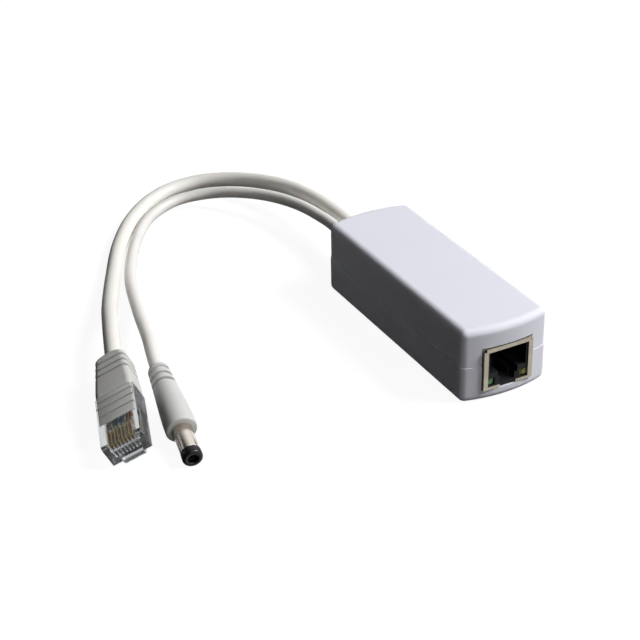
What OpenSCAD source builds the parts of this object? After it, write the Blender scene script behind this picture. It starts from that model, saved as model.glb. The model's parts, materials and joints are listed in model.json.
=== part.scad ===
// Inline power-over-Ethernet splitter: a two-part plastic box with a shielded
// network socket at one end and two cords at the other, one ending in a clear
// 8-contact network plug with a moulded boot, one in a round DC power plug.
// Units are millimetres. Origin: middle of the box underside. +Z up, the socket
// faces -Y, the cords leave at +Y.

/* [Housing] */
// width of the box across X
box_w = 28; // [24:0.5:34]
// overall length of the box along Y, measured over the bowed ends
box_l = 80; // [70:1:95]
// height of the box
box_h = 23; // [20:0.5:28]
// how far each bowed end stands out beyond the box corners
bow = 2.3; // [0.5:0.1:4]
// height of the joint line between the two halves
seam_z = 11.5; // [9:0.5:14]
// rounding of all outer edges and corners
edge_r = 2; // [0.8:0.1:3]
// thickness of the side walls and the roof
wall = 1.8; // [1.2:0.1:2.4]
// step of the upper half inside the lower half, per side
seam_step = 0.15; // [0:0.05:0.4]

/* [Socket] */
// width of the metal socket shield
jack_w = 16; // [15:0.1:17]
// height of the metal socket shield
jack_h = 13.1; // [12:0.1:14]
// depth of the metal socket shield
jack_d = 21.3; // [18:0.1:24]
// gap between the socket and the opening in the box
jack_gap = 0.25; // [0.1:0.05:0.5]
// width of the plug cavity
cavity_w = 11.9; // [11.75:0.05:12.2]
// height of the plug cavity
cavity_h = 6.9; // [6.7:0.1:7.2]
// sideways distance of each indicator light from the middle
led_x = 5.7; // [5:0.1:6]

/* [Circuit board] */
// width of the board
pcb_w = 24; // [20:0.5:26]
// length of the board
pcb_l = 66; // [50:1:70]
// thickness of the board
pcb_t = 1; // [0.8:0.1:1.6]
// height of the top of the board above the table
pcb_z = 3.5; // [3:0.1:5]

/* [Cords] */
// diameter of the network cord
net_d = 5; // [4:0.1:6]
// diameter of the power cord
dc_d = 3.8; // [2.6:0.1:4]
// height at which both cords leave the box
exit_z = 11.5; // [9:0.5:14]

/* [Network plug] */
// width of the clear plug
plug_w = 11.68; // [11.5:0.01:11.8]
// length of the clear plug
plug_l = 21.5; // [20:0.1:23]
// thickness of the clear plug without its latch
plug_t = 6.6; // [6.4:0.1:6.8]
// distance between neighbouring contacts
pitch = 1.02; // [1:0.01:1.04]
// distance from the nose to the cord end of the boot
boot_end = 40; // [36:0.5:46]

/* [Power plug] */
// outer diameter of the barrel
barrel_d = 5.5; // [5:0.1:6]
// diameter of the hole in the barrel
barrel_bore = 2.1; // [1.6:0.1:2.6]
// length of the barrel in front of the grip
barrel_l = 11.5; // [9:0.5:14]
// length of the black tip of the barrel
tip_l = 2.6; // [1:0.1:3]
// length of the grip
grip_l = 26; // [20:0.5:32]
// diameter of the grip at the barrel end
grip_d = 8.8; // [7:0.1:11]

/* [Hidden] */
$fn = 64;
eps = 0.01;
hw = box_w/2;
// radius of the bowed ends and the distance of its centre from the middle
bow_R = (hw*hw + bow*bow)/(2*bow);
bow_c = box_l/2 - bow_R;
jack_y = -box_l/2;
jack_z = pcb_z;
cav_top = jack_z + jack_h - 1.2;
cav_bot = cav_top - cavity_h;
cav_d = 13.5;
key_bot = cav_bot - 2;
slot_bot = jack_z + 1.2;
net_x = 2;
dc_x = -2.7;
net_r = net_d/2;
dc_r = dc_d/2;
// where the nose of the network plug lies, and how it is turned there
np = [-107, -19.8, 9.6];
n_yaw = -17.7;
n_pitch = 3;
n_roll = -26;
// where the front face of the power plug grip lies, and how it is turned
dp = [-88.7, -17.2, 4.55];
d_yaw = 9.5;
d_pitch = 9;
net_axis_z = -3.3;
steel = [0.76, 0.74, 0.70];
white = [0.86, 0.86, 0.90];
black = [0.08, 0.08, 0.09];
gold = [0.83, 0.66, 0.30];

// ---------- helpers ----------
module rr(w, h, r) {
  square([w - 2*r, h], center = true);
  square([w, h - 2*r], center = true);
  for (sx = [-1, 1], sy = [-1, 1]) translate([sx*(w/2 - r), sy*(h/2 - r)]) circle(r = r);
}
// rounded bar of section w x h along +Y, from y = 0, middle on the axis
module bar(w, h, r, l) rotate([-90, 0, 0]) linear_extrude(l) rr(w, h, r);
module rod(a, b, d) {
  v = b - a;
  l = norm(v);
  translate(a) rotate([0, acos(v[2]/l), atan2(v[1], v[0])]) cylinder(d = d, h = l, $fn = 24);
}
module disc(s, inset) {
  R = bow_R - inset;
  translate([0, s*bow_c, 0]) rotate_extrude($fn = 128) {
    square([R - edge_r, box_h]);
    translate([0, edge_r]) square([R, box_h - 2*edge_r]);
    translate([R - edge_r, edge_r]) circle(r = edge_r);
    translate([R - edge_r, box_h - edge_r]) circle(r = edge_r);
  }
}
// one rounded corner: the wedge it takes out of the rest, and the post that fills it
module corner_wedge(sx, sy, inset) {
  R = bow_R - inset - edge_r;
  cx = hw - inset - edge_r;
  cy = bow_c + sqrt(R*R - cx*cx);
  u = [cx, cy - bow_c]/R;
  d = 0.12;
  scale([sx, sy, 1]) translate([0, 0, -1]) linear_extrude(box_h + 2)
    polygon([[cx - d, cy - d], [cx + 5, cy - d], [cx + 5, cy + 8], [cx - d + 7*u[0], cy - d + 7*u[1]]]);
}
module corner_post(sx, sy, inset) {
  R = bow_R - inset - edge_r;
  cx = hw - inset - edge_r;
  cy = bow_c + sqrt(R*R - cx*cx);
  r = edge_r - 0.02;
  translate([sx*cx, sy*cy, 0]) rotate_extrude() intersection() {
    translate([0, 0.02]) square([r, box_h - 0.04]);
    union() {
      translate([0, edge_r]) circle(r = r);
      translate([0, box_h - edge_r]) circle(r = r);
      translate([0, edge_r]) square([r, box_h - 2*edge_r]);
    }
  }
}
// outside of the box, narrowed all round by inset
module shape(inset) {
  difference() {
    intersection() {
      disc(1, inset);
      disc(-1, inset);
      translate([0, -box_l, box_h/2]) bar(box_w - 2*inset, box_h, edge_r, 2*box_l);
    }
    for (sx = [-1, 1], sy = [-1, 1]) corner_wedge(sx, sy, inset);
  }
  for (sx = [-1, 1], sy = [-1, 1]) corner_post(sx, sy, inset);
}
module window() translate([-jack_w/2 - jack_gap, jack_y - 2, jack_z - jack_gap])
  cube([jack_w + 2*jack_gap, 8, jack_h + 2*jack_gap]);
module cord_hole() translate([-0.35, box_l/2 - 6, exit_z]) bar(12.4, 8.4, 4, 8);
module inner_space(z0, z1) translate([-hw + wall, -box_l/2 + 3.8, z0])
  cube([box_w - 2*wall, box_l - 7.6, z1 - z0]);

// ---------- housing ----------
module bottom_shell() color(white) {
  difference() {
    intersection() {
      shape(0);
      translate([-40, -60, 0]) cube([80, 120, seam_z - 0.15]);
    }
    inner_space(1.5, 30);
    window();
    cord_hole();
    // step that takes the tongue of the upper half
    translate([-hw + 0.95, -box_l/2 + 2.9, seam_z - 1.6]) difference() {
      cube([box_w - 1.9, box_l - 5.8, 3]);
      translate([hw - 0.95 - 9.5, -1, -1]) cube([19, 12, 5]);
      translate([hw - 0.95 - 7.5, box_l - 16, -1]) cube([15, 12, 5]);
    }
  }
  // supports under the board
  for (x = [-10, 10], y = [-14, 27]) translate([x, y, 1.4]) cylinder(d = 3, h = pcb_z - pcb_t - 1.4 - 0.02);
  // ribs that hold the board ends
  for (x = [-10.5, 10.5]) translate([x - 0.6, 31.2, 1.4]) cube([1.2, 1.2, 5.2]);
}
module top_shell() color(white) {
  difference() {
    intersection() {
      shape(seam_step);
      translate([-40, -60, seam_z]) cube([80, 120, box_h]);
    }
    inner_space(0, box_h - wall);
    window();
    cord_hole();
  }
  // tongue that drops into the lower half
  difference() {
    translate([-hw + 1.05, -box_l/2 + 3, seam_z - 1.4]) cube([box_w - 2.1, box_l - 6, 2]);
    translate([-hw + wall, -box_l/2 + 3.8, 0]) cube([box_w - 2*wall, box_l - 7.6, box_h]);
    window();
    cord_hole();
    translate([-9.7, -box_l/2, 5]) cube([19.4, 6, 10]);
    translate([-7.7, box_l/2 - 6, 5]) cube([15.4, 6, 10]);
  }
  // rib that presses on the socket shield
  translate([-6, -30, jack_z + jack_h + 0.15]) cube([12, 1.2, box_h - wall - jack_z - jack_h]);
}

// ---------- circuit board ----------
module pcb() color([0.12, 0.36, 0.20]) difference() {
  translate([-pcb_w/2, -36, pcb_z - pcb_t]) cube([pcb_w, pcb_l, pcb_t]);
  for (x = [-10, 10], y = [-14, 27]) translate([x, y, 0]) cylinder(d = 1.6, h = 9);
  for (i = [0:7]) translate([(i - 3.5)*1.27, -24 + (i % 2)*2.54, 0]) cylinder(d = 0.9, h = 9, $fn = 24);
  for (x = [-jack_w/2 + 0.15, jack_w/2 - 0.15]) translate([x - 0.35, -29.9, 0]) cube([0.7, 2.3, 9]);
}
module jack_body() color(black) difference() {
  translate([-jack_w/2 + 0.35, jack_y + 0.35, jack_z + 0.05]) cube([jack_w - 0.7, jack_d - 0.8, jack_h - 0.45]);
  // plug cavity, key way and latch slot
  translate([-cavity_w/2, jack_y - 1, cav_bot]) cube([cavity_w, cav_d + 1, cavity_h]);
  translate([-3.25, jack_y - 1, key_bot]) cube([6.5, cav_d + 1, 2.5]);
  translate([-2.4, jack_y - 1, slot_bot]) cube([4.8, 4, 6]);
  translate([-1.75, jack_y - 1, slot_bot]) cube([3.5, cav_d - 3, 6]);
  // pockets of the two lights
  for (s = [-1, 1]) translate([s*led_x - 1.55, jack_y - 1, jack_z + 1]) cube([3.1, 7, 2.4]);
  // room for the sprung contacts in the roof of the cavity
  translate([-4.3, jack_y + 2, cav_top - 0.05]) cube([8.6, 12, 0.75]);
  // holes of the upright pins
  for (i = [0:7]) translate([(i - 3.5)*1.27, -24 + (i % 2)*2.54, jack_z - 1]) cylinder(d = 0.7, h = 4, $fn = 24);
}
module jack_shield() color(steel) {
  t = 0.3;
  difference() {
    translate([-jack_w/2, jack_y, jack_z]) cube([jack_w, jack_d, jack_h]);
    translate([-jack_w/2 + t, jack_y + t, jack_z - 1]) cube([jack_w - 2*t, jack_d - 2*t, jack_h + 1 - t]);
    // front opening and the gap for the latch
    translate([-6.6, jack_y - 1, jack_z + 0.8]) cube([13.2, 3, jack_h - 2]);
    translate([-2.6, jack_y - 1, jack_z - 1]) cube([5.2, 3, 4]);
    // open upper corners of the folded front edge
    for (s = [-1, 1]) translate([s*jack_w/2 - 0.8, jack_y - 1, jack_z + jack_h - 0.75]) cube([1.6, 1.7, 2]);
  }
  // grounding fingers on the sides, pressed outwards
  for (s = [-1, 1]) translate([s*(jack_w/2 - 0.15), -28.75, pcb_z - 1.9]) translate([-0.15, -0.85, 0]) cube([0.3, 1.7, 2.2]);
  for (s = [-1, 1]) translate([s*(jack_w/2 + 0.05), -33, jack_z + 6.5]) translate([-0.1, -1, -1.6]) cube([0.2, 2, 3.2]);
}
// eight sprung wires in the roof of the cavity, hinged at their front bend
hinge = [0, jack_y + 2.9, cav_top + 0.18];
module jack_contacts() color(gold) for (i = [0:7]) translate([(i - 3.5)*pitch, hinge[1], hinge[2]]) {
  rotate([0, 90, 0]) cylinder(r = 0.26, h = 0.45, center = true, $fn = 24);
  rotate([-15, 0, 0]) translate([-0.225, 0, -0.15]) cube([0.45, 8.6, 0.3]);
}
module jack_pins() color(gold) for (i = [0:7])
  translate([(i - 3.5)*1.27, -24 + (i % 2)*2.54, pcb_z - pcb_t - 0.7]) cylinder(d = 0.6, h = pcb_t + 3.4, $fn = 24);
module led(s) translate([s*led_x - 1.4, jack_y + 0.9, jack_z + 1.15]) {
  cube([2.8, 4.5, 2.1]);
  translate([1.4, 0.1, 1.05]) rotate([90, 0, 0]) cylinder(d = 1.6, h = 0.4, $fn = 32);
}
module led_green() color([0.25, 0.55, 0.25]) led(-1);
module led_yellow() color([0.80, 0.72, 0.20]) led(1);
module lan_magnetics() color(black) translate([-10.5, -16, pcb_z]) {
  translate([0, 0, 0.3]) cube([12.5, 16, 5.8]);
  for (i = [0:7], x = [-0.9, 12.4]) translate([x, 1.2 + i*1.8, 0.02]) cube([1, 0.5, 0.6]);
}
module transformer_core() color([0.20, 0.19, 0.20]) translate([-9.5, 3, pcb_z + 1.6]) difference() {
  cube([12, 13, 11]);
  translate([2.2, -1, 2.4]) cube([7.6, 15, 6.2]);
}
module transformer_coil() color([0.86, 0.72, 0.22]) translate([-9.5, 3, pcb_z + 1.6]) {
  translate([2.4, -1.6, 2.6]) cube([7.2, 16.2, 5.8]);
  for (y = [-2.4, 14.4]) translate([0, y, -1.5]) cube([12, 1.2, 10.5]);
}
module electrolytic(d, h) difference() {
  cylinder(d = d, h = h);
  translate([0, 0, 1.4]) rotate_extrude() translate([d/2 + 0.25, 0]) circle(r = 0.6, $fn = 24);
  translate([-d/2, -0.15, h - 0.3]) cube([d, 0.3, 1]);
  translate([-0.15, -d/2, h - 0.3]) cube([0.3, d, 1]);
}
module input_capacitor() color([0.10, 0.12, 0.20]) translate([7, -10.5, pcb_z + 0.05]) electrolytic(8, 14);
module output_capacitors() color([0.14, 0.10, 0.22]) for (y = [4.2, 12.8]) translate([7.4, y, pcb_z + 0.05]) electrolytic(7, 13);
module bridge_rectifiers() color(black) for (x = [-7, 0]) translate([x, 20.8, pcb_z + 0.05]) cube([4.8, 3.6, 2.4]);
module control_chip() color(black) translate([4.6, -5, pcb_z + 0.05]) {
  translate([0, 0, 0.15]) cube([5, 3.9, 1.4]);
  for (i = [0:3], y = [-0.9, 3.8]) translate([0.5 + i*1.27, y, 0]) cube([0.4, 1, 0.4]);
}
module optocoupler() color([0.15, 0.15, 0.16]) translate([5.2, 18, pcb_z + 0.05]) {
  translate([0, 0, 0.4]) cube([4.6, 6.4, 3.2]);
  for (x = [0.8, 3.2], y = [-0.7, 6.3]) translate([x, y, 0]) cube([0.6, 0.8, 2]);
}
module output_inductor() color([0.30, 0.30, 0.32]) translate([-9, 27.6, pcb_z + 0.05]) {
  difference() {
    cylinder(d = 5.4, h = 4.6);
    translate([0, 0, 1]) rotate_extrude() translate([2, 0]) square([2, 2.6]);
  }
}
module small_parts() color([0.62, 0.52, 0.36]) for (i = [0:5]) {
  translate([-11.2 + i*1.9, 19, pcb_z + 0.02]) cube([0.9, 1.6, 0.55]);
  translate([10.2, -2 + i*2.4 + (i > 2 ? 13.6 : 0), pcb_z + 0.02]) translate([0.85, 0, 0]) cube([0.8, 1.4, 0.5]);
}

// ---------- cord entry ----------
module cord_grommet() color([0.90, 0.89, 0.86]) difference() {
  union() {
    translate([-0.35, box_l/2 - 5.8, exit_z]) bar(12, 8, 3.9, 9);
    translate([-0.35, box_l/2 - 5.8, exit_z]) bar(14.6, 10.6, 4, 1.8);
    translate([-0.35, box_l/2 + 0.1, exit_z]) bar(13.6, 9.6, 4, 1.4);
    translate([-0.35, box_l/2 + 3, exit_z]) bar(11.6, 7.6, 3.7, 2.2);
    translate([-0.35, box_l/2 + 6.4, exit_z]) bar(11.2, 7.2, 3.5, 2.2);
    translate([-0.35, box_l/2 - 1, exit_z]) bar(10.8, 6.8, 3.3, 12);
  }
  translate([net_x, box_l/2 - 8, exit_z]) rotate([-90, 0, 0]) cylinder(r = net_r + 0.06, h = 22);
  translate([dc_x, box_l/2 - 8, exit_z]) rotate([-90, 0, 0]) cylinder(r = dc_r + 0.06, h = 22);
}
module cord_tie() color([0.80, 0.80, 0.82]) translate([-0.25, 31.2, exit_z]) {
  difference() {
    bar(11, 7.2, 3.5, 2);
    translate([0, -1, 0]) bar(9.6, 5.8, 2.85, 4);
  }
  translate([-1.8, -0.5, 3.7]) cube([3.6, 3, 2.4]);
}
module ethernet_wires() color([0.55, 0.45, 0.35]) for (i = [0:3], j = [0, 1])
  rod([net_x + (i - 1.5)*1.08, 29.7, exit_z + (j - 0.5)*1.2], [net_x + (i - 1.5)*1.6, 28 - j*2.4, pcb_z + 0.26], 0.86);
module dc_wires() color([0.60, 0.12, 0.10]) for (i = [0, 1])
  rod([dc_x + (i - 0.5)*1.3, 29.7, exit_z], [dc_x - 1.4 + (i - 0.5)*2, 27, pcb_z + 0.3], 1.1);

// ---------- cords ----------
function unit(v) = v/norm(v);
function rx(v, a) = [v[0], v[1]*cos(a) - v[2]*sin(a), v[1]*sin(a) + v[2]*cos(a)];
function ry(v, a) = [v[0]*cos(a) + v[2]*sin(a), v[1], -v[0]*sin(a) + v[2]*cos(a)];
function rz(v, a) = [v[0]*cos(a) - v[1]*sin(a), v[0]*sin(a) + v[1]*cos(a), v[2]];
function net_at(v) = np + rz(rx(ry(v, n_roll), n_pitch), n_yaw);
function dc_at(v) = dp + rz(rx(v, d_pitch), -d_yaw);
// Catmull-Rom point between q[i] and q[i+1]
function crp(q, i, t) = let (
    a = q[max(i - 1, 0)], b = q[i], c = q[i + 1], d = q[min(i + 2, len(q) - 1)])
  0.5*(2*b + (c - a)*t + (2*a - 5*b + 4*c - d)*t*t + (3*b - a - 3*c + d)*t*t*t);
function fine(q, n) = [for (i = [0:len(q) - 2], k = [0:n - 1]) crp(q, i, k/n), q[len(q) - 1]];
function tang(q, i) = unit(q[min(i + 1, len(q) - 1)] - q[max(i - 1, 0)]);
function frames(q, i, side) = i >= len(q) ? [] :
  let (t = tang(q, i), s = unit(side - (side*t)*t)) concat([[t, s]], frames(q, i + 1, s));
module tube(q, r, n, side = [1, 0, 0]) {
  f = frames(q, 0, side);
  m = len(q);
  pts = [for (i = [0:m - 1], k = [0:n - 1]) let (t = f[i][0], s = f[i][1], u = cross(t, s), a = 360*(k + 0.5)/n)
    q[i] + r*(cos(a)*s + sin(a)*u)];
  faces = concat(
    [[for (k = [0:n - 1]) k]],
    [for (i = [0:m - 2], k = [0:n - 1]) [i*n + k, (i + 1)*n + k, (i + 1)*n + (k + 1) % n, i*n + (k + 1) % n]],
    [[for (k = [n - 1:-1:0]) (m - 1)*n + k]]);
  polyhedron(pts, faces, convexity = 4);
}
net_route = [[net_x, 30.5, exit_z], [net_x, 40, exit_z], [net_x, 52, exit_z], [2.4, 62, 11.3], [2, 75, 10.8], [-0.5, 91, 9.5],
  [-6, 104, 7.9], [-13.5, 114, 6.2], [-23.5, 120, 4.7], [-35.5, 119.5, 3.6], [-48.5, 111, 2.7],
  [-61, 94.5, 2.6], [-71.6, 74, 3.3], [-81.6, 51.5, 6], [-87.3, 36, 8.7],
  net_at([0, boot_end + 4, net_axis_z]), net_at([0, boot_end - 3, net_axis_z]), net_at([0, 33, net_axis_z])];
dc_route = [[dc_x, 30.5, exit_z], [dc_x, 40, exit_z], [dc_x, 52, exit_z], [-2.9, 62, 11.2], [-4.6, 77, 10.2], [-9, 91, 8.6],
  [-16, 102, 6.9], [-24, 109.5, 5], [-34.5, 112, 3.6], [-46.3, 106.2, 2.5], [-57.5, 91, 2.1],
  [-67, 71.5, 2.2], [-74.2, 47.4, 4.8], [-80.5, 24, 8.9],
  dc_at([0, grip_l + 4, 0]), dc_at([0, grip_l - 2, 0]), dc_at([0, grip_l - 6, 0])];
module ethernet_cord() color([0.90, 0.89, 0.85]) tube(fine(net_route, 2), net_r, 12);
module dc_cord() color([0.90, 0.89, 0.85]) tube(fine(dc_route, 2), dc_r, 8);

// ---------- network plug ----------
// local frame: nose at y = 0, cord towards +Y, contact face at z = 0
module at_net() translate(np) rotate([0, 0, n_yaw]) rotate([n_pitch, 0, 0]) rotate([0, n_roll, 0]) children();
module rj45_body() color([0.82, 0.84, 0.86]) at_net() difference() {
  union() {
    translate([-plug_w/2, 0, -plug_t]) cube([plug_w, plug_l, plug_t]);
    translate([-3.1, 0.4, -7.7]) cube([6.2, 2.2, 1.5]);
  }
  // blade slots, deeper through the nose
  for (i = [0:7]) translate([(i - 3.5)*pitch - 0.21, -1, -1.98]) cube([0.42, 7.4, 3]);
  for (i = [0:7]) translate([(i - 3.5)*pitch - 0.21, -1, -4.6]) cube([0.42, 1.85, 4]);
  // space of the flat row of wires, of the moulding behind it, and its window in the contact face
  translate([-4.3, 1.2, -3.1]) cube([8.6, 14, 1.12]);
  translate([-4.35, 13.4, -5.95]) cube([8.7, plug_l, 5.2]);
  translate([-5.4, 9.45, -1.1]) cube([10.8, plug_l, 3]);
  // chamfers of the nose
  translate([-10, 0, 0]) rotate([-45, 0, 0]) translate([0, -0.5, -0.4]) cube([6.1, 1, 1]);
  translate([3.9, 0, 0]) rotate([-45, 0, 0]) translate([0, -0.5, -0.4]) cube([6.1, 1, 1]);
}
module rj45_contacts() color(gold) at_net() for (i = [0:7]) translate([(i - 3.5)*pitch - 0.15, 0.35, -1.94]) cube([0.3, 5.9, 1.72]);
module rj45_wires() color([0.75, 0.45, 0.20]) at_net() for (i = [0:7])
  translate([(i - 3.5)*pitch, 1.4, -2.55]) rotate([-90, 0, 0]) cylinder(d = 0.96, h = 12, $fn = 24);
// latch: living hinge under the nose, free end towards the cord
latch_hinge = [0, 1.6, -8.35];
module rj45_latch() color([0.82, 0.84, 0.86]) at_net() translate(latch_hinge) rotate([-8, 0, 0]) {
  translate([-3, 0, -0.55]) cube([6, 3.2, 1]);
  translate([-1.62, 3, -0.55]) cube([3.24, 10.2, 1]);
  rotate([0, 90, 0]) cylinder(r = 0.5, h = 6, center = true, $fn = 32);
}
module rj45_boot() color([0.84, 0.84, 0.82]) at_net() difference() {
  union() {
    translate([0, plug_l + 0.02, net_axis_z]) bar(11.4, 8.2, 1.6, boot_end - plug_l - 0.02);
    // core inside the rear of the clear plug, and the tongue that fills its window
    translate([-4.3, 13.5, -5.9]) cube([8.6, plug_l - 12.9, 5.1]);
    difference() {
      translate([-5.35, 9.5, -1]) cube([10.7, plug_l - 8.9, 1.2]);
      for (y = [12.8, 16.2, 19.2]) translate([-8, y, -0.2]) cube([16, 0.8, 2]);
    }
  }
  translate([0, boot_end - 7.1, net_axis_z]) rotate([-90, 0, 0]) cylinder(r = net_r + 0.15, h = 20);
  // grooves across the cord end
  for (y = [30.1, 32.9, 35.7]) translate([0, y, net_axis_z]) difference() {
    translate([-10, 0, -8]) cube([20, 1.3, 16]);
    translate([0, -1, 0]) bar(8.8 - (y - 30.1)*0.14, 6.6, 1.4, 4);
  }
  // flanks that narrow towards the cord, and the shoulders at the end
  for (m = [0, 1]) mirror([m, 0, 0]) {
    translate([5.7, 24, 0]) rotate([0, 0, 4.5]) translate([0, -1, -20]) cube([12, 22, 40]);
    translate([4.6, 38, 0]) rotate([0, 0, 33]) translate([0, -1, -20]) cube([12, 12, 40]);
  }
  translate([0, 0, net_axis_z]) for (m = [0, 1]) mirror([0, 0, m]) translate([0, 38.6, 4.1]) rotate([-24, 0, 0]) translate([-12, -1, 0]) cube([24, 14, 6]);
}

// ---------- power plug ----------
// local frame: grip front face at y = 0, barrel towards -Y, cord towards +Y
module at_dc() translate(dp) rotate([0, 0, -d_yaw]) rotate([d_pitch, 0, 0]) children();
module turned() rotate([-90, 0, 0]) rotate_extrude($fn = 96) children();
module dc_grip() color([0.90, 0.89, 0.87]) at_dc() turned() difference() {
  polygon([[0, 0], [grip_d/2 - 0.4, 0], [grip_d/2, 0.5], [grip_d/2, 3], [grip_d/2 - 0.45, grip_l*0.45],
    [grip_d/2 - 1.1, grip_l*0.8], [grip_d/2 - 1.35, grip_l - 1], [grip_d/2 - 1.9, grip_l], [0, grip_l]]);
  translate([-1, -1]) square([barrel_d/2 - 0.28 + 1, 7.02]);
  translate([-1, grip_l - 7]) square([dc_r + 0.12 + 1, 12]);
  for (y = [grip_l - 2.9, grip_l - 5.6, grip_l - 8.3]) translate([2.6, y]) square([3, 1.3]);
}
module dc_barrel() color(steel) at_dc() turned() {
  translate([barrel_d/2 - 0.4, -barrel_l + tip_l]) square([0.4, barrel_l - tip_l - 0.02]);
  translate([barrel_d/2 - 0.85, -0.42]) square([0.55, 6.22]);
}
module dc_tip() color(black) at_dc() turned() {
  difference() {
    translate([barrel_bore/2 + 0.34, -barrel_l]) square([barrel_d/2 - barrel_bore/2 - 0.34, tip_l - 0.02]);
    translate([barrel_d/2 + 0.1, -barrel_l - 0.1]) circle(r = 0.45, $fn = 32);
  }
  translate([barrel_bore/2 + 0.34, -barrel_l + tip_l - 0.1]) square([barrel_d/2 - barrel_bore/2 - 0.34 - 0.43, barrel_l - tip_l - 0.35]);
  translate([barrel_bore/2 + 0.34, -0.6]) square([0.49, 4.1]);
}
module dc_sleeve() color(steel) at_dc() turned() translate([barrel_bore/2, -barrel_l + 1.5]) square([0.3, barrel_l + 2]);

bottom_shell();
top_shell();
pcb();
jack_body();
jack_shield();
jack_contacts();
jack_pins();
led_green();
led_yellow();
lan_magnetics();
transformer_core();
transformer_coil();
input_capacitor();
output_capacitors();
bridge_rectifiers();
control_chip();
optocoupler();
output_inductor();
small_parts();
cord_grommet();
cord_tie();
ethernet_wires();
dc_wires();
ethernet_cord();
dc_cord();
rj45_boot();
rj45_body();
rj45_latch();
rj45_contacts();
rj45_wires();
dc_grip();
dc_barrel();
dc_tip();
dc_sleeve();
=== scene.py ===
import bpy
import json
import math
from mathutils import Matrix, Vector, Euler


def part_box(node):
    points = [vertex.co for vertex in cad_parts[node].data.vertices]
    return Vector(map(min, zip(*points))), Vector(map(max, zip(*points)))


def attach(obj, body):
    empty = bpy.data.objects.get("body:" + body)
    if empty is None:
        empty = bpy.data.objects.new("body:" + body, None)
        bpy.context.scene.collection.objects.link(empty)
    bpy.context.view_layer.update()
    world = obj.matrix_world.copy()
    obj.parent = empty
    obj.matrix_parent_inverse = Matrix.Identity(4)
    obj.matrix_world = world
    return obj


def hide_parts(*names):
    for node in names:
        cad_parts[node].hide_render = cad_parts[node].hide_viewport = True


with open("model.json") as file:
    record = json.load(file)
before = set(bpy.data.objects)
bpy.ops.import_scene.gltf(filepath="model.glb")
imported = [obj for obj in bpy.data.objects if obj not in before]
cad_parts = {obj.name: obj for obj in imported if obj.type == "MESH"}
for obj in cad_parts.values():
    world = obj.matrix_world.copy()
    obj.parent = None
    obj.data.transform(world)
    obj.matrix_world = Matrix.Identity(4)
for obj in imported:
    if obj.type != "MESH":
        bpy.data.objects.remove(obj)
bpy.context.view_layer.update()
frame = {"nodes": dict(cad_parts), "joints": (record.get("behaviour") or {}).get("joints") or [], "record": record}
nodes = frame["nodes"]
record = frame["record"]
scene = bpy.context.scene
MM = 0.001

# ------------------------------------------------------------------ camera
cam_data = bpy.data.cameras.new("camera")
cam = bpy.data.objects.new("camera", cam_data)
scene.collection.objects.link(cam)
cam_data.lens = 90.4
cam_data.sensor_width = 36.0
cam_data.clip_start = 0.01
cam_data.clip_end = 20
cam.location = (-0.2202, -0.3483, 0.2465)
cam.rotation_euler = Euler((math.radians(59.493), math.radians(1.041), math.radians(-28.298)), "XYZ")
scene.camera = cam

# ------------------------------------------------------------------ where the CAD says things are
mounts = {m["name"]: m for m in record["mounts"]}
joints = {j["name"]: j for j in frame["joints"]}
lo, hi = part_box("top_shell")
NET_R, DC_R = 0.0025, 0.0019

# network plug: local x across the contacts, y from the nose to the cord, z out of the contact face
nx = Vector(joints["latch_press"]["axis"]).normalized()
ny = -Vector(mounts["network_plug"]["axis"]).normalized()
nz = nx.cross(ny).normalized()
RN = Matrix((nx, ny, nz)).transposed()
NP = Vector(mounts["network_plug"]["pos_m"]) - RN @ Vector((0, 0, -3.3 * MM))
# power plug: local y from the grip's front face to the cord
dy = -Vector(mounts["power_plug_barrel"]["axis"]).normalized()
dx = dy.cross(Vector((0, 0, 1))).normalized()
dz = dx.cross(dy).normalized()
RD = Matrix((dx, dy, dz)).transposed()
DP = Vector(mounts["power_plug_barrel"]["pos_m"]) - RD @ Vector((0, -5.59 * MM, 0))


def net(x, y, z):
    return NP + RN @ Vector((x * MM, y * MM, z * MM))


def dc(x, y, z):
    return DP + RD @ Vector((x * MM, y * MM, z * MM))


# ------------------------------------------------------------------ material helpers
def shader(name):
    m = bpy.data.materials.new(name)
    m.use_nodes = True
    nt = m.node_tree
    nt.nodes.clear()
    out = nt.nodes.new("ShaderNodeOutputMaterial")
    b = nt.nodes.new("ShaderNodeBsdfPrincipled")
    nt.links.new(b.outputs[0], out.inputs[0])
    return m, nt, b


def coords(nt, scale=(1, 1, 1), rotation=(0, 0, 0), location=(0, 0, 0)):
    tc = nt.nodes.new("ShaderNodeTexCoord")
    mp = nt.nodes.new("ShaderNodeMapping")
    mp.inputs["Scale"].default_value = scale
    mp.inputs["Rotation"].default_value = rotation
    mp.inputs["Location"].default_value = location
    nt.links.new(tc.outputs["Object"], mp.inputs["Vector"])
    return mp.outputs["Vector"]


def noise(nt, vec, scale, detail=3.0, rough=0.55):
    n = nt.nodes.new("ShaderNodeTexNoise")
    n.inputs["Scale"].default_value = scale
    n.inputs["Detail"].default_value = detail
    n.inputs["Roughness"].default_value = rough
    nt.links.new(vec, n.inputs["Vector"])
    return n.outputs["Fac"]


def remap(nt, fac, lo, hi, a=0.3, b=0.7):
    r = nt.nodes.new("ShaderNodeMapRange")
    r.inputs["From Min"].default_value = a
    r.inputs["From Max"].default_value = b
    r.inputs["To Min"].default_value = lo
    r.inputs["To Max"].default_value = hi
    nt.links.new(fac, r.inputs["Value"])
    return r.outputs["Result"]


def math_node(nt, op, a, b):
    n = nt.nodes.new("ShaderNodeMath")
    n.operation = op
    for i, v in enumerate((a, b)):
        if isinstance(v, (int, float)):
            n.inputs[i].default_value = v
        else:
            nt.links.new(v, n.inputs[i])
    return n.outputs[0]


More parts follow.
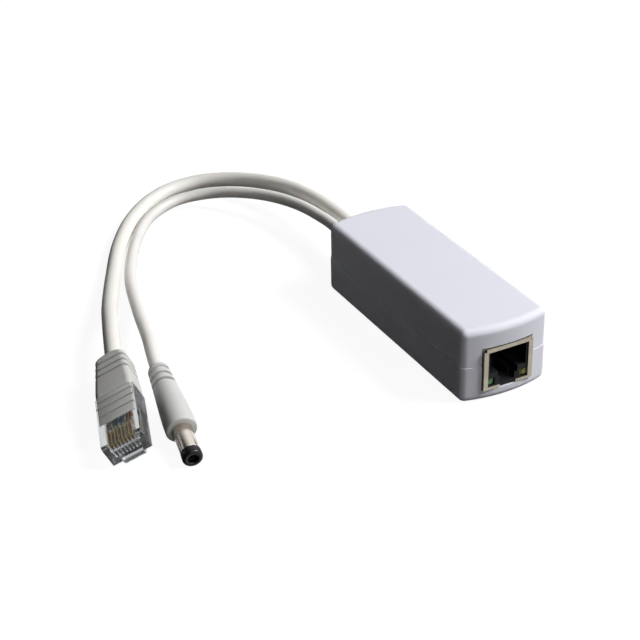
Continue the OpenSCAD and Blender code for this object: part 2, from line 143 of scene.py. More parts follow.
def mix(nt, fac, a, b, mode="MIX"):
    n = nt.nodes.new("ShaderNodeMix")
    n.data_type = "RGBA"
    n.blend_type = mode
    if isinstance(fac, (int, float)):
        n.inputs[0].default_value = fac
    else:
        nt.links.new(fac, n.inputs[0])
    for i, v in ((6, a), (7, b)):
        if isinstance(v, tuple):
            n.inputs[i].default_value = (*v[:3], 1)
        else:
            nt.links.new(v, n.inputs[i])
    return n.outputs[2]


def edge_mask(nt, radius, lo=0.90, hi=0.995):
    """1 on convex and concave edges, 0 on flats."""
    bv = nt.nodes.new("ShaderNodeBevel")
    bv.samples = 4
    bv.inputs["Radius"].default_value = radius
    ge = nt.nodes.new("ShaderNodeNewGeometry")
    vm = nt.nodes.new("ShaderNodeVectorMath")
    vm.operation = "DOT_PRODUCT"
    nt.links.new(bv.outputs[0], vm.inputs[0])
    nt.links.new(ge.outputs["Normal"], vm.inputs[1])
    return remap(nt, vm.outputs["Value"], 1, 0, lo, hi)


def bump(nt, b, height, strength, distance, chain=None):
    n = nt.nodes.new("ShaderNodeBump")
    n.inputs["Strength"].default_value = strength
    n.inputs["Distance"].default_value = distance
    nt.links.new(height, n.inputs["Height"])
    if chain is not None:
        nt.links.new(chain, n.inputs["Normal"])
    nt.links.new(n.outputs[0], b.inputs["Normal"])
    return n.outputs[0]


def moulded(name, color, dark, rough=(0.4, 0.55), grain=0.00035, depth=0.00002, strength=0.25, patch=0.018,
            wear=None, wear_r=0.0004, specular=0.5, dust=0.0, subsurface=0.0, coat=0.0, fleck=0.10, crease_shade=0.0):
    """Injection-moulded or cast plastic: faint flow mottling, fine spark-eroded grain, a little edge wear."""
    m, nt, b = shader(name)
    v = coords(nt)
    flow = noise(nt, v, 1 / patch, 4, 0.5)
    col = mix(nt, remap(nt, flow, 0, 1), dark, color)
    fine = noise(nt, v, 1 / grain, 3, 0.6)
    speck = noise(nt, v, 0.35 / grain, 2, 0.7)
    col = mix(nt, remap(nt, speck, 0.0, fleck, 0.45, 0.75), col, tuple(0.86 * c for c in dark))
    if dust:
        spots = noise(nt, v, 900, 2, 0.4)
        col = mix(nt, remap(nt, spots, 0, dust, 0.66, 0.74), col, (0.45, 0.43, 0.40))
    ro = remap(nt, flow, rough[0], rough[1])
    if wear is not None:
        e = edge_mask(nt, wear_r)
        worn = math_node(nt, "MULTIPLY", e, remap(nt, noise(nt, v, 700, 3, 0.6), 0.2, 1.0, 0.35, 0.6))
        col = mix(nt, math_node(nt, "MULTIPLY", worn, wear[3]), col, wear[:3])
        ro = math_node(nt, "ADD", ro, math_node(nt, "MULTIPLY", worn, -0.12))
    # painted shade: ambient occlusion darkens the colour in grooves and creases, where shade falls
    if crease_shade:
        ao = nt.nodes.new("ShaderNodeAmbientOcclusion")
        ao.samples = 6
        ao.inputs["Distance"].default_value = 0.0014
        painted_crease_shade = remap(nt, ao.outputs["AO"], crease_shade, 0.0, 0.30, 0.85)
        col = mix(nt, painted_crease_shade, col, tuple(0.22 * c for c in dark))
    nt.links.new(col, b.inputs["Base Color"])
    nt.links.new(ro, b.inputs["Roughness"])
    b.inputs["Specular IOR Level"].default_value = specular
    if subsurface:
        b.inputs["Subsurface Weight"].default_value = subsurface
        b.inputs["Subsurface Scale"].default_value = 0.001
    if coat:
        b.inputs["Coat Weight"].default_value = coat
        b.inputs["Coat Roughness"].default_value = 0.12
    first = bump(nt, b, fine, strength, depth)
    bump(nt, b, noise(nt, v, 1 / (patch * 0.6), 2, 0.4), 0.10, 0.00012, first)
    return m


def metal(name, color, tarnish, rough=(0.22, 0.4), streak=(1, 1, 1), scale=900, strength=0.15, rot=(0, 0, 0), smudge=0.5):
    """Plated or rolled metal: drawn streaks, smudges, a darker tarnish in patches, and slightly lighter edges."""
    m, nt, b = shader(name)
    b.inputs["Metallic"].default_value = 1.0
    v = coords(nt, streak, rot)
    plain = coords(nt)
    lines = noise(nt, v, scale, 5, 0.65)
    patch = noise(nt, plain, 260, 4, 0.6)
    col = mix(nt, remap(nt, patch, 0, smudge, 0.4, 0.75), color, tarnish)
    col = mix(nt, remap(nt, lines, 0, 0.35, 0.35, 0.7), col, tuple(0.82 * c for c in color))
    e = edge_mask(nt, 0.00018)
    col = mix(nt, math_node(nt, "MULTIPLY", e, 0.35), col, tuple(min(1, 1.12 * c) for c in color))
    nt.links.new(col, b.inputs["Base Color"])
    ro = math_node(nt, "ADD", remap(nt, lines, rough[0], rough[1]), remap(nt, patch, 0, 0.10, 0.45, 0.8))
    nt.links.new(ro, b.inputs["Roughness"])
    bump(nt, b, lines, strength, 0.00001)
    return m


def clear_plastic(name, tint=(0.73, 0.75, 0.76)):
    """Moulded clear polycarbonate: slight haze, flow lines, scuffed edges, and it lets lamps through."""
    m, nt, b = shader(name)
    out = nt.nodes["Material Output"]
    v = coords(nt)
    b.inputs["Base Color"].default_value = (*tint, 1)
    b.inputs["Transmission Weight"].default_value = 1.0
    b.inputs["IOR"].default_value = 1.58
    flow = noise(nt, coords(nt, (1, 0.25, 1)), 420, 4, 0.6)
    fine = noise(nt, v, 2600, 3, 0.6)
    e = edge_mask(nt, 0.0002)
    ro = math_node(nt, "ADD", remap(nt, flow, 0.07, 0.22), math_node(nt, "MULTIPLY", e, 0.25))
    nt.links.new(ro, b.inputs["Roughness"])
    first = bump(nt, b, fine, 0.12, 0.00001)
    bump(nt, b, flow, 0.25, 0.00006, first)
    tr = nt.nodes.new("ShaderNodeBsdfTransparent")
    tr.inputs[0].default_value = (0.72, 0.74, 0.75, 1)
    lp = nt.nodes.new("ShaderNodeLightPath")
    mx = nt.nodes.new("ShaderNodeMixShader")
    nt.links.new(math_node(nt, "MAXIMUM", lp.outputs["Is Shadow Ray"], lp.outputs["Is Diffuse Ray"]), mx.inputs[0])
    nt.links.new(b.outputs[0], mx.inputs[1])
    nt.links.new(tr.outputs[0], mx.inputs[2])
    nt.links.new(mx.outputs[0], out.inputs[0])
    return m


def lens_plastic(name, color, core):
    """Coloured epoxy of a small light: translucent, darker in the depth, with a moulded haze."""
    m, nt, b = shader(name)
    v = coords(nt)
    n = noise(nt, v, 900, 3, 0.5)
    nt.links.new(mix(nt, remap(nt, n, 0, 1), core, color), b.inputs["Base Color"])
    nt.links.new(remap(nt, n, 0.12, 0.30), b.inputs["Roughness"])
    b.inputs["Transmission Weight"].default_value = 0.15
    b.inputs["Subsurface Weight"].default_value = 0.5
    b.inputs["Subsurface Scale"].default_value = 0.001
    b.inputs["IOR"].default_value = 1.5
    # painted glow: a faint emission in the lens colour makes the lens glow a little
    b.inputs["Emission Color"].default_value = (*color, 1)
    b.inputs["Emission Strength"].default_value = 0.06
    bump(nt, b, noise(nt, v, 3000, 2, 0.5), 0.15, 0.00001)
    return m


def board_material(name):
    """Green solder resist with copper lines showing faintly under it, tinned spots, and glass weave."""
    m, nt, b = shader(name)
    v = coords(nt)
    br = nt.nodes.new("ShaderNodeTexBrick")
    br.inputs["Scale"].default_value = 260
    br.inputs["Mortar Size"].default_value = 0.012
    br.inputs["Color1"].default_value = (0.020, 0.150, 0.050, 1)
    br.inputs["Color2"].default_value = (0.026, 0.190, 0.064, 1)
    br.inputs["Mortar"].default_value = (0.012, 0.095, 0.035, 1)
    nt.links.new(coords(nt, (1, 1, 1), (0, 0, 0.5)), br.inputs["Vector"])
    vo = nt.nodes.new("ShaderNodeTexVoronoi")
    vo.inputs["Scale"].default_value = 330
    nt.links.new(v, vo.inputs["Vector"])
    pads = remap(nt, vo.outputs["Distance"], 1, 0, 0.10, 0.13)
    col = mix(nt, pads, br.outputs["Color"], (0.55, 0.53, 0.47))
    col = mix(nt, remap(nt, noise(nt, v, 2400, 2, 0.6), 0, 0.25), col, (0.03, 0.21, 0.07))
    nt.links.new(col, b.inputs["Base Color"])
    nt.links.new(remap(nt, noise(nt, v, 500, 3, 0.5), 0.25, 0.45), b.inputs["Roughness"])
    bump(nt, b, br.outputs["Fac"], 0.3, 0.00003)
    return m


def wound(name, color, dark, scale, axis="Y"):
    """Tape or wire turns round a bobbin."""
    m, nt, b = shader(name)
    w = nt.nodes.new("ShaderNodeTexWave")
    w.wave_type = "BANDS"
    w.bands_direction = axis
    w.inputs["Scale"].default_value = scale
    w.inputs["Distortion"].default_value = 1.2
    w.inputs["Detail"].default_value = 2
    v = coords(nt)
    nt.links.new(v, w.inputs["Vector"])
    nt.links.new(mix(nt, w.outputs["Fac"], dark, color), b.inputs["Base Color"])
    nt.links.new(remap(nt, noise(nt, v, 600, 3, 0.5), 0.25, 0.5), b.inputs["Roughness"])
    bump(nt, b, w.outputs["Fac"], 0.3, 0.00005)
    return m


def jacket(name, color, dark, rough=(0.36, 0.5)):
    """Extruded PVC jacket: slight chalkiness, tiny draw lines and specks, soft edge of gloss."""
    m, nt, b = shader(name)
    v = coords(nt)
    big = noise(nt, v, 90, 3, 0.5)
    fine = noise(nt, v, 2200, 3, 0.6)
    col = mix(nt, remap(nt, big, 0, 1), dark, color)
    col = mix(nt, remap(nt, noise(nt, v, 1100, 2, 0.5), 0, 0.22, 0.62, 0.78), col, tuple(0.80 * c for c in dark))
    nt.links.new(col, b.inputs["Base Color"])
    nt.links.new(remap(nt, big, rough[0], rough[1]), b.inputs["Roughness"])
    b.inputs["Subsurface Weight"].default_value = 0.12
    b.inputs["Subsurface Scale"].default_value = 0.0012
    b.inputs["Specular IOR Level"].default_value = 0.45
    first = bump(nt, b, fine, 0.18, 0.00002)
    bump(nt, b, noise(nt, v, 170, 2, 0.5), 0.12, 0.00025, first)
    return m


def core_insulation(name, color, stripe=None, scale=1):
    """Glossy conductor insulation, solid or white with a coloured helical stripe."""
    m, nt, b = shader(name)
    v = coords(nt)
    n = noise(nt, v, 700, 2, 0.5)
    col = mix(nt, remap(nt, n, 0, 1), tuple(0.78 * c for c in color), color)
    if stripe is not None:
        w = nt.nodes.new("ShaderNodeTexWave")
        w.wave_type = "BANDS"
        w.bands_direction = "DIAGONAL"
        w.inputs["Scale"].default_value = 150 * scale
        w.inputs["Distortion"].default_value = 0.6
        nt.links.new(v, w.inputs["Vector"])
        col = mix(nt, remap(nt, w.outputs["Fac"], 0, 1, 0.55, 0.62), col, stripe)
    nt.links.new(col, b.inputs["Base Color"])
    nt.links.new(remap(nt, n, 0.22, 0.38), b.inputs["Roughness"])
    bump(nt, b, noise(nt, v, 3000, 2, 0.5), 0.1, 0.00001)
    return m


M_SHELL = moulded("m_white_plastic", (0.85, 0.855, 0.935), (0.83, 0.835, 0.915), (0.42, 0.54), 0.00030, 0.00002, 0.18, 0.02,
                  wear=(0.86, 0.87, 0.93, 0.2), wear_r=0.00030, specular=0.06, fleck=0.04)
M_SHIELD = metal("m_jack_metal", (0.44, 0.40, 0.325), (0.26, 0.23, 0.18), (0.30, 0.46), (1, 1, 9), 700, 0.2)
M_BLACK = moulded("m_black_plastic", (0.022, 0.022, 0.025), (0.014, 0.014, 0.016), (0.38, 0.55), 0.0002, 0.00002, 0.3, 0.006,
                  wear=(0.10, 0.10, 0.11, 0.5), wear_r=0.00015, specular=0.4)
M_JACK = moulded("m_jack_black", (0.010, 0.010, 0.012), (0.006, 0.006, 0.007), (0.5, 0.68), 0.0002, 0.00002, 0.3, 0.006,
                 wear=(0.05, 0.05, 0.055, 0.4), wear_r=0.00012, specular=0.2)
M_GOLD = metal("m_gold", (0.92, 0.68, 0.28), (0.62, 0.42, 0.16), (0.16, 0.30), (1, 0.2, 1), 1500, 0.12, smudge=0.35)
M_LEDG = lens_plastic("m_led_green", (0.04, 0.26, 0.07), (0.02, 0.12, 0.03))
M_LEDY = lens_plastic("m_led_yellow", (0.24, 0.25, 0.03), (0.12, 0.12, 0.012))
M_BOARD = board_material("m_board")
M_FERRITE = moulded("m_ferrite", (0.050, 0.050, 0.055), (0.030, 0.030, 0.034), (0.5, 0.75), 0.00018, 0.00004, 0.5, 0.004,
                    wear=(0.20, 0.20, 0.20, 0.6), wear_r=0.0003)
M_TAPE = wound("m_tape", (0.84, 0.66, 0.14), (0.62, 0.45, 0.08), 60, "Z")
M_FOIL = moulded("m_sleeve_foil", (0.020, 0.030, 0.085), (0.012, 0.018, 0.060), (0.16, 0.30), 0.0006, 0.00001, 0.1, 0.006,
                 wear=(0.30, 0.32, 0.40, 0.3), wear_r=0.0003, coat=0.4)
M_CHIPS = moulded("m_chip_parts", (0.52, 0.42, 0.30), (0.36, 0.28, 0.20), (0.35, 0.6), 0.0002, 0.00002, 0.3, 0.002,
                  wear=(0.75, 0.74, 0.70, 0.8), wear_r=0.0002)
M_CORD = jacket("m_cord_jacket", (0.95, 0.935, 0.88), (0.92, 0.905, 0.845))
M_DCCORD = jacket("m_dc_jacket", (0.91, 0.895, 0.865), (0.88, 0.86, 0.82), (0.30, 0.42))
M_NYLON = moulded("m_nylon", (0.78, 0.78, 0.77), (0.72, 0.72, 0.70), (0.32, 0.45), 0.0003, 0.00002, 0.2, 0.004, subsurface=0.25)
# the boot and the grip get painted shade in their grooves
M_BOOT = moulded("m_boot_pvc", (0.66, 0.66, 0.635), (0.62, 0.615, 0.59), (0.46, 0.60), 0.00022, 0.00002, 0.25, 0.008,
                 wear=(0.75, 0.75, 0.73, 0.35), wear_r=0.0003, specular=0.3, fleck=0.05, subsurface=0.06, crease_shade=0.6)
M_GRIP = moulded("m_grip_pvc", (0.69, 0.69, 0.68), (0.66, 0.66, 0.645), (0.34, 0.46), 0.00025, 0.00002, 0.2, 0.010,
                 wear=(0.76, 0.76, 0.75, 0.35), wear_r=0.0003, specular=0.3, fleck=0.05, subsurface=0.06, crease_shade=0.6)
M_CLEAR = clear_plastic("m_clear_plastic")
M_NICKEL = metal("m_nickel", (0.80, 0.74, 0.66), (0.50, 0.44, 0.37), (0.10, 0.20), (1, 1, 1), 1200, 0.08, smudge=0.4)
# painted shade: the inner sleeve is plated metal like the barrel, darkened to stand for the shade inside the plug's
# hole
M_SLEEVE_SHADED = metal("m_sleeve_metal_painted_shade", (0.16, 0.14, 0.115), (0.09, 0.08, 0.065), (0.25, 0.40), (1, 1, 1), 1200, 0.08, smudge=0.4)
M_TIP = moulded("m_tip_black", (0.007, 0.007, 0.008), (0.004, 0.004, 0.005), (0.20, 0.34), 0.0004, 0.00001, 0.12, 0.003,
                wear=(0.03, 0.03, 0.03, 0.3), wear_r=0.0002, specular=0.35)


# ------------------------------------------------------------------ mesh helpers
def add_mesh(name, verts, faces, mats, face_mat=None, angle=35, place=None):
    me = bpy.data.meshes.new(name)
    pts = [tuple(place(*v)) for v in verts] if place else [tuple(Vector(v) * MM) for v in verts]
    me.from_pydata(pts, [], faces)
    for m in mats:
        me.materials.append(m)
    if face_mat:
        me.polygons.foreach_set("material_index", face_mat)
    me.update()
    me.shade_smooth()
    me.set_sharp_from_angle(angle=math.radians(angle))
    ob = bpy.data.objects.new(name, me)
    scene.collection.objects.link(ob)
    return ob


def ring_rr(y, w, h, r, cx=0.0, cz=0.0, n=6):
    """A rounded rectangle across the local y axis."""
    r = max(min(r, w / 2 - 1e-4, h / 2 - 1e-4), 0.02)
    out = []
    for sx, sz, a0 in ((1, 1, 0), (-1, 1, 90), (-1, -1, 180), (1, -1, 270)):
        for k in range(n + 1):
            a = math.radians(a0 + 90 * k / n)
            out.append((cx + sx * (w / 2 - r) + r * math.cos(a), y, cz + sz * (h / 2 - r) + r * math.sin(a)))
    return out


def loft(rings, verts, faces):
    """Joins rings of equal length into a closed skin with flat ends, adding to verts and faces."""
    base, n = len(verts), len(rings[0])
    for r in rings:
        verts.extend(r)
    for i in range(len(rings) - 1):
        for k in range(n):
            a, b = base + i * n + k, base + i * n + (k + 1) % n
            faces.append((a, b, b + n, a + n))
    faces.append(tuple(base + k for k in range(n - 1, -1, -1)))
    faces.append(tuple(base + (len(rings) - 1) * n + k for k in range(n)))


def lathe(profile, n, verts, faces):
    """Turns a closed profile of (y, r) about the local y axis."""
    base, m = len(verts), len(profile)
    for y, r in profile:
        for k in range(n):
            a = 2 * math.pi * k / n
            verts.append((r * math.cos(a), y, r * math.sin(a)))
    for i in range(m):
        j = (i + 1) % m
        for k in range(n):
            l = (k + 1) % n
            faces.append((base + i * n + k, base + j * n + k, base + j * n + l, base + i * n + l))


def arc(cy, cr, rad, a0, a1, n=5):
    """Points (y, r) of a rounded edge."""
    return [(cy + rad * math.cos(math.radians(a0 + (a1 - a0) * k / n)), cr + rad * math.sin(math.radians(a0 + (a1 - a0) * k / n)))
            for k in range(n + 1)]


def fix_normals(ob):
    import bmesh
    bm = bmesh.new()
    bm.from_mesh(ob.data)
    bmesh.ops.recalc_face_normals(bm, faces=bm.faces)
    bm.to_mesh(ob.data)
    bm.free()
    ob.data.update()


def box_rings(x0, x1, y0, y1, z0, z1, e):
    """A box along local y with edges rounded by e."""
    w, h, cx, cz = x1 - x0, z1 - z0, (x0 + x1) / 2, (z0 + z1) / 2
    ins = [(0.0, 1.0), (0.3, 0.293), (1.0, 0.0)]
    rings = [ring_rr(y0 + e * t, w - 2 * e * s, h - 2 * e * s, e, cx, cz, 3) for t, s in ins]
    rings += [ring_rr(y1 - e * t, w - 2 * e * s, h - 2 * e * s, e, cx, cz, 3) for t, s in reversed(ins)]
    return rings


# ------------------------------------------------------------------ cords
def route_points(raw):
    return [Vector(p) if isinstance(p, Vector) else Vector(p) * MM for p in raw]


net_route = route_points([
    (2, 30.5, 11.5), (2, 40, 11.5), (2, 52, 11.5), (2.4, 62, 11.3), (2, 75, 10.8), (-0.5, 91, 9.5),
    (-6, 104, 7.9), (-13.5, 114, 6.2), (-23.5, 120, 4.7), (-35.5, 119.5, 3.6), (-48.5, 111, 2.7),
    (-61, 94.5, 2.6), (-71.6, 74, 3.3), (-81.6, 51.5, 6), (-87.3, 36, 8.7),
    net(0, 44, -3.3), net(0, 37, -3.3), net(0, 33, -3.3)])
dc_route = route_points([
    (-2.7, 30.5, 11.5), (-2.7, 40, 11.5), (-2.7, 52, 11.5), (-2.9, 62, 11.2), (-4.6, 77, 10.2), (-9, 91, 8.6),
    (-16, 102, 6.9), (-24, 109.5, 5), (-34.5, 112, 3.6), (-46.3, 106.2, 2.5), (-57.5, 91, 2.1),
    (-67, 71.5, 2.2), (-74.2, 47.4, 4.8), (-80.5, 24, 8.9),
    dc(0, 30, 0), dc(0, 24, 0), dc(0, 20, 0)])


def cord_curve(name, pts, radius, material, skip_start):
    """One smooth open curve through the route's points."""
    cu = bpy.data.curves.new(name, "CURVE")
    cu.dimensions = "3D"
    cu.resolution_u = 14
    cu.bevel_depth = radius
    cu.bevel_resolution = 7
    cu.use_fill_caps = True
    tang = [0.5 * (pts[min(i + 1, len(pts) - 1)] - pts[max(i - 1, 0)]) for i in range(len(pts))]
    pts, tang = [p.copy() for p in pts], [t.copy() for t in tang]
    pts[0] = pts[0].lerp(pts[1], skip_start)
    tang[0] = 0.5 * (pts[1] - pts[0])
    sp = cu.splines.new("BEZIER")
    sp.bezier_points.add(len(pts) - 1)
    for bp, p, t, i in zip(sp.bezier_points, pts, tang, range(len(pts))):
        a = (pts[i] - pts[i - 1]).length if i else (pts[1] - pts[0]).length
        b = (pts[i + 1] - pts[i]).length if i + 1 < len(pts) else a
        u = t.normalized()
        bp.co = p
        bp.handle_left_type = bp.handle_right_type = "FREE"
        bp.handle_left = p - u * a / 3
        bp.handle_right = p + u * b / 3
    ob = bpy.data.objects.new(name, cu)
    scene.collection.objects.link(ob)
    cu.materials.append(material)
    return ob


net_cord = cord_curve("ethernet_cord_look", net_route, NET_R, M_CORD, 0.5)
dc_cord = cord_curve("dc_cord_look", dc_route, DC_R, M_DCCORD, 0.5)
for ob, node, s in ((net_cord, "ethernet_cord", "cord_jacket"), (dc_cord, "dc_cord", "cord_jacket")):
    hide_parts(node)
    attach(ob, "adapter")

# ------------------------------------------------------------------ strain relief at the box
V, F = [], []
gx, gz = -0.35, 11.5


def relief(y, w, h, r):
    return ring_rr(y, w, h, r, gx, gz, 10)


prof = [(34.25, 14.0, 10.0, 3.8), (34.5, 14.5, 10.5, 4.0), (35.7, 14.5, 10.5, 4.0), (35.95, 14.0, 10.0, 3.8),
        (35.98, 12.0, 8.0, 3.8), (39.7, 12.0, 8.0, 3.8), (40.12, 12.9, 8.9, 3.8), (40.18, 13.4, 9.4, 3.95), (40.4, 13.6, 9.6, 4.0),
        (41.1, 13.6, 9.6, 4.0), (41.4, 13.3, 9.3, 3.95), (41.5, 12.8, 8.8, 3.8), (41.56, 11.6, 7.6, 3.6)]
y = 41.7
for i in range(4):
    w, h = 11.6 - 0.33 * i, 7.6 - 0.30 * i
    g = w - 1.1, h - 1.1
    prof += [(y, g[0] + 0.1, g[1] + 0.1, 3.0), (y + 0.85, g[0], g[1], 3.0), (y + 0.95, w - 0.45, h - 0.45, 3.3), (y + 1.12, w - 0.1, h - 0.1, 3.5),
             (y + 1.3, w, h, 3.5), (y + 1.95, w - 0.03, h - 0.03, 3.5), (y + 2.12, w - 0.15, h - 0.15, 3.4), (y + 2.25, w - 0.5, h - 0.5, 3.2)]
    y += 2.3
prof += [(50.95, 9.9, 6.2, 3.0)]
prof[-1] = (max(prof[-2][0] + 0.1, 50.98), 9.4, 5.6, 2.75)
loft([relief(*p) for p in prof], V, F)
grommet = add_mesh("cord_grommet_look", V, F, [M_CORD], angle=50)
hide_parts("cord_grommet")
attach(grommet, "adapter")

# ------------------------------------------------------------------ boot of the network plug
V, F = [], []
AZ = -3.3
Y0 = 21.52


def half_w(y):
    return 5.7 - max(0.0, (y - 24) * 0.0787)


def br(y, ins, r=1.6):
    return ring_rr(y, 2 * (half_w(y) - ins), 8.2 - 2 * ins, r - ins * 0.4, 0, AZ, 8)


rings = [br(Y0, 0.5), br(Y0 + 0.06, 0.28), br(Y0 + 0.2, 0.09), br(Y0 + 0.45, 0.0), br(24, 0.0), br(29.5, 0.0)]
for g in (30.1, 32.9, 35.7):
    rings += [br(g - 0.20, 0.0), br(g + 0.02, 0.07), br(g + 0.14, 0.24), br(g + 0.20, 0.72), br(g + 0.30, 0.92),
              br(g + 0.98, 0.92), br(g + 1.08, 0.72), br(g + 1.15, 0.24), br(g + 1.27, 0.07), br(g + 1.50, 0.0)]
rings += [br(37.8, 0.0)]
for y in (38.0, 38.15, 38.4, 38.7, 39.1, 39.5, 39.8, 39.95):
    w = 2 * (half_w(38.0) - 0.649 * (y - 38.0))
    h = 8.2 - 2 * max(0.0, (y - 38.6) * 0.445)
    rings.append(ring_rr(y, w, h, 1.6 + 0.3 * (y - 38.0), 0, AZ, 8))
rings.append(ring_rr(40.0, 6.3, 6.6, 2.4, 0, AZ, 8))
loft(rings, V, F)
# core inside the rear of the clear plug
loft(box_rings(-4.3, 4.3, 13.5, 22.1, -5.9, -0.85, 0.25), V, F)
# tongue in the window of the contact face, with three cross grooves
tongue = []
prof = [(9.5, -0.02), (9.58, 0.12), (9.8, 0.2)]
for g in (12.8, 16.2, 19.2):
    prof += [(g - 0.2, 0.2), (g - 0.02, 0.12), (g + 0.04, -0.2), (g + 0.76, -0.2), (g + 0.82, 0.12), (g + 1.0, 0.2)]
prof += [(22.0, 0.2)]
for y, top in prof:
    tongue.append(ring_rr(y, 10.7, top + 1.0, 0.3, 0, (top - 1.0) / 2, 3))
loft(tongue, V, F)
boot = add_mesh("rj45_boot_look", V, F, [M_BOOT], angle=38, place=net)
fix_normals(boot)
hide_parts("rj45_boot")
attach(boot, "adapter")

# ------------------------------------------------------------------ eight coloured cores in the clear plug
colours = [  # from local -x to +x
    ((0.17, 0.09, 0.05), None), ((0.62, 0.60, 0.56), (0.20, 0.10, 0.06)), ((0.05, 0.16, 0.07), None), ((0.62, 0.62, 0.60), (0.07, 0.11, 0.26)),
    ((0.06, 0.09, 0.22), None), ((0.62, 0.62, 0.60), (0.07, 0.20, 0.10)), ((0.48, 0.19, 0.07), None), ((0.62, 0.60, 0.56), (0.45, 0.19, 0.08))]
core_mats = [core_insulation(f"m_core_{i}", c, s) for i, (c, s) in enumerate(colours)]
V, F, FM = [], [], []
NS = 12
for i in range(8):
    x = (i - 3.5) * 1.02
    prof = [(1.40, 0.0, 0.30), (1.45, 0.0, 0.42), (1.6, 0.0, 0.47)]
    prof += [(2.5 + k * 1.2, 0.10 * math.sin(0.9 * k + 1.7 * i) * min(1, k / 4), 0.475) for k in range(9)]
    prof += [(13.45, 0.0, 0.475)]
    rings = []
    for y, off, r in prof:
        rings.append([(x + 0.35 * off + r * math.cos(2 * math.pi * k / NS), y, -2.55 + 0.25 * off + r * math.sin(2 * math.pi * k / NS)) for k in range(NS)])
    n0 = len(F)
    loft(rings, V, F)
    FM += [i] * (len(F) - n0)
cores = add_mesh("rj45_wires_look", V, F, core_mats, FM, angle=50, place=net)
fix_normals(cores)
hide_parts("rj45_wires")
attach(cores, "adapter")

# ------------------------------------------------------------------ power plug grip, turned profile with rounded lips
G = 26.0
prof = [(0.0, 2.47)]
prof += [(0.0, 3.0), (0.0, 3.7)] + [(0.55 - 0.55 * math.cos(math.radians(a)), 3.85 + 0.55 * math.sin(math.radians(a))) for a in (10, 30, 50, 70, 90)]
shape = [(1.5, 4.40), (3.2, 4.39), (5.5, 4.30), (8.5, 4.13), (11.5, 3.94), (14.5, 3.72), (16.6, 3.57)]
prof += shape


def grip_r(y):
    pts = shape + [(18.2, 3.47), (21.0, 3.30), (23.5, 3.14), (25.0, 3.04), (26.0, 2.95)]
    for (a, ra), (b, rb) in zip(pts, pts[1:]):
        if a <= y <= b:
            return ra + (rb - ra) * (y - a) / (b - a)
    return pts[-1][1]


for g in (G - 8.3, G - 5.6, G - 2.9):
    r = grip_r(g)
    q = 2.5
    prof += [(g - 0.15, grip_r(g - 0.15)), (g - 0.03, r - 0.04), (g + 0.03, r - 0.15), (g + 0.06, q + 0.06), (g + 0.12, q),
             (g + 1.14, q), (g + 1.22, q + 0.06), (g + 1.27, grip_r(g + 1.3) - 0.15), (g + 1.33, grip_r(g + 1.3) - 0.04), (g + 1.45, grip_r(g + 1.45))]
prof += [(G - 1.0, 3.05), (G - 0.6, 2.96), (G - 0.3, 2.80), (G - 0.08, 2.56), (G, 2.36), (G, 1.97), (G - 0.3, 1.93), (6.1, 1.93), (6.1, 2.47)]
prof = [(y, max(r, 1.9)) for y, r in prof]
V, F = [], []
lathe(prof, 96, V, F)
grip = add_mesh("dc_grip_look", V, F, [M_GRIP], angle=40, place=dc)
fix_normals(grip)
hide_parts("dc_grip")
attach(grip, "adapter")

# ------------------------------------------------------------------ barrel, tip and inner sleeve
B, T = 11.5, 2.6
V, F = [], []
prof = [(-B + T, 2.35), (-B + T, 2.70), (-B + T + 0.06, 2.75), (-0.08, 2.75), (-0.02, 2.72), (-0.02, 2.45), (5.8, 2.45), (5.8, 1.9), (-0.42, 1.9), (-0.42, 2.35)]
lathe(prof, 96, V, F)
barrel = add_mesh("dc_barrel_look", V, F, [M_NICKEL], angle=30, place=dc)
fix_normals(barrel)
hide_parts("dc_barrel")
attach(barrel, "adapter")

V, F = [], []
prof = [(-B + T - 0.02, 2.3), (-B + T - 0.02, 2.74), (-B + T - 0.08, 2.80), (-B + T - 0.5, 2.84), (-B + 0.75, 2.84), (-B + 0.45, 2.78),
        (-B + 0.2, 2.62), (-B + 0.05, 2.38), (-B, 2.1), (-B, 1.62), (-B + 0.06, 1.50), (-B + 0.2, 1.42), (-B + 0.5, 1.39), (3.5, 1.39), (3.5, 1.88), (-0.6, 1.88), (-0.6, 2.3)]
lathe(prof, 96, V, F)
tip = add_mesh("dc_tip_look", V, F, [M_TIP], angle=35, place=dc)
fix_normals(tip)
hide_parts("dc_tip")
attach(tip, "adapter")

V, F = [], []
prof = [(-B + 1.5, 1.12), (-B + 1.55, 1.33), (-B + 1.62, 1.35), (3.5, 1.35), (3.5, 1.05), (-B + 1.62, 1.05)]
lathe(prof, 64, V, F)
sleeve = add_mesh("dc_sleeve_look", V, F, [M_SLEEVE_SHADED], angle=35, place=dc)
fix_normals(sleeve)
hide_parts("dc_sleeve")
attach(sleeve, "adapter")

# ------------------------------------------------------------------ materials of the carried-over CAD nodes
keep = {
    "bottom_shell": M_SHELL, "top_shell": M_SHELL, "pcb": M_BOARD, "jack_body": M_JACK, "jack_shield": M_SHIELD,
    "jack_contacts": M_GOLD, "jack_pins": M_GOLD, "led_green": M_LEDG, "led_yellow": M_LEDY, "lan_magnetics": M_BLACK,
    "transformer_core": M_FERRITE, "transformer_coil": M_TAPE, "input_capacitor": M_FOIL, "output_capacitors": M_FOIL,
    "bridge_rectifiers": M_BLACK, "control_chip": M_BLACK, "optocoupler": M_BLACK, "output_inductor": M_FERRITE,
    "small_parts": M_CHIPS, "cord_tie": M_NYLON,
    "ethernet_wires": core_insulation("m_core_pairs", (0.80, 0.30, 0.05), (0.85, 0.85, 0.80)),
    "dc_wires": core_insulation("m_core_power", (0.55, 0.03, 0.03)),
    "rj45_body": M_CLEAR, "rj45_latch": M_CLEAR, "rj45_contacts": M_GOLD}
for name, m in keep.items():
    me = nodes[name].data
    me.materials.clear()
    me.materials.append(m)


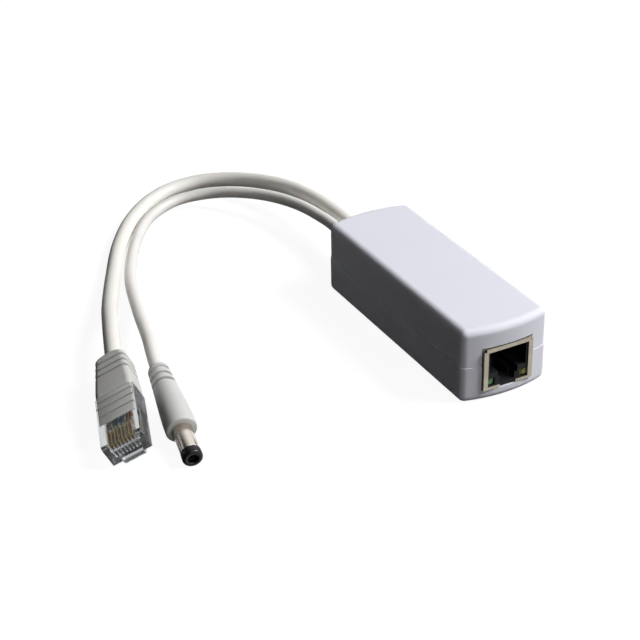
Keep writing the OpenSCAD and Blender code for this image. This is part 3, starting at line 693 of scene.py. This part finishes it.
# ------------------------------------------------------------------ floor, light, world
fl = bpy.data.meshes.new("floor")
S = 3.0
fl.from_pydata([(-S, -S, 0), (S, -S, 0), (S, S, 0), (-S, S, 0)], [], [(0, 1, 2, 3)])
floor = bpy.data.objects.new("floor", fl)
scene.collection.objects.link(floor)
fm = bpy.data.materials.new("floor_paint")
fm.use_nodes = True
nt = fm.node_tree
nt.nodes.clear()
out = nt.nodes.new("ShaderNodeOutputMaterial")
ad = nt.nodes.new("ShaderNodeAddShader")
df = nt.nodes.new("ShaderNodeBsdfDiffuse")
em = nt.nodes.new("ShaderNodeEmission")
df.inputs["Color"].default_value = (0.16, 0.16, 0.16, 1)
em.inputs["Color"].default_value = (1, 1, 1, 1)
em.inputs["Strength"].default_value = 0.93
nt.links.new(df.outputs[0], ad.inputs[0])
nt.links.new(em.outputs[0], ad.inputs[1])
nt.links.new(ad.outputs[0], out.inputs[0])
fl.materials.append(fm)
floor.visible_diffuse = False
floor.visible_glossy = False
floor.visible_transmission = True

w = bpy.data.worlds.new("world")
scene.world = w
w.use_nodes = True
nt = w.node_tree
bg = nt.nodes["Background"]
bg.inputs[0].default_value = (1, 1, 1, 1)
lp = nt.nodes.new("ShaderNodeLightPath")
seen = math_node(nt, "MULTIPLY", lp.outputs["Is Camera Ray"], 1.08)
tc = nt.nodes.new("ShaderNodeTexCoord")
sx = nt.nodes.new("ShaderNodeSeparateXYZ")
nt.links.new(tc.outputs["Generated"], sx.inputs[0])
shine = math_node(nt, "MULTIPLY", lp.outputs["Is Glossy Ray"], remap(nt, sx.outputs["X"], 0.03, 1.0, -0.35, 0.35))
nt.links.new(math_node(nt, "ADD", math_node(nt, "ADD", seen, shine), 0.02), bg.inputs[1])

aim = Vector((-0.02, 0.03, 0.01))


def area(name, direction, distance, size, power, color=(1, 1, 1)):
    d = bpy.data.lights.new(name, "AREA")
    d.shape = "SQUARE"
    d.size = size
    d.energy = power
    d.color = color
    o = bpy.data.objects.new(name, d)
    scene.collection.objects.link(o)
    v = Vector(direction).normalized()
    o.location = aim + v * distance
    o.rotation_euler = v.to_track_quat("Z", "Y").to_euler()
    return o


area("key", (0.617, -0.35, 0.708), 1.3, 0.55, 18.4)
area("fill", (0.0, -0.86, 0.51), 1.4, 0.9, 3.6)
scene.view_settings.view_transform = "Standard"
